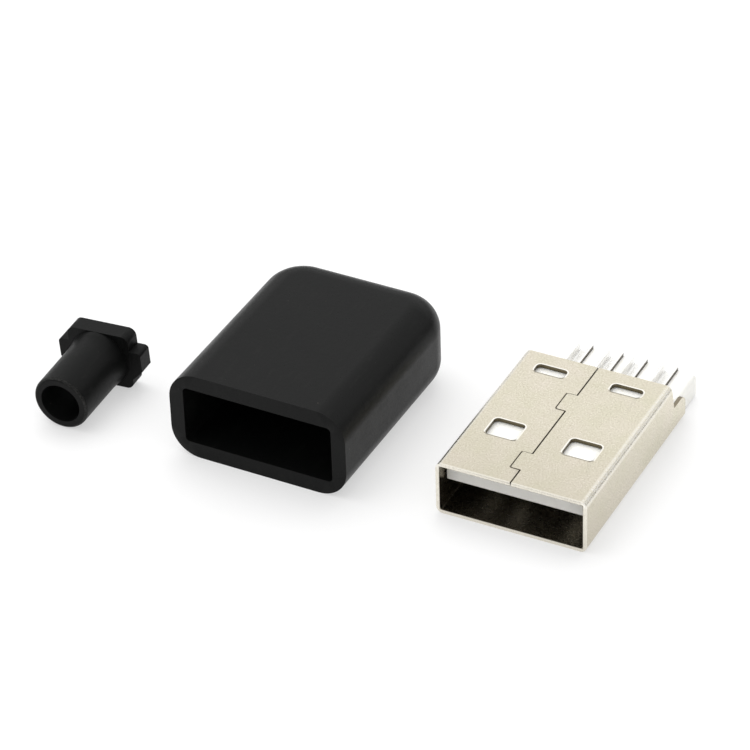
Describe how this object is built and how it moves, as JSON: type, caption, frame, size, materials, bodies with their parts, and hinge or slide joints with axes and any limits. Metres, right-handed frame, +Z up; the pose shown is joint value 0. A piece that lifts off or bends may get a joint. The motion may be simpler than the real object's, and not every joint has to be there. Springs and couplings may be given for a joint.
{
  "type": "usb-a plug",
  "caption": "Cable plug for self-assembly, taken apart: folded metal shell with white insulator and solder cups, slide-on black hood and flanged strain relief.",
  "frame": {"origin": "middle of the shell's underside, half-way between the mouth and the end of the seamed top plate", "axes": "+X across the plug towards its right side, +Y from the mouth to the solder cups, +Z up"},
  "size_m": [0.0464, 0.0235, 0.0074],
  "materials": {
    "shell_nickel": "satin nickel plate on thin sheet steel",
    "white_plastic": "smooth moulded",
    "contact_tin": "bright tin plate",
    "hood_plastic": "satin black moulded",
    "relief_plastic": "matte black moulded"
  },
  "bodies": {
    "root": {"shell": "shell_nickel", "insulator": "white_plastic", "contact_vbus": "contact_tin", "contact_data_minus": "contact_tin", "contact_data_plus": "contact_tin", "contact_ground": "contact_tin", "hood": "hood_plastic", "strain_relief": "relief_plastic"}
  },
  "joints": []
}
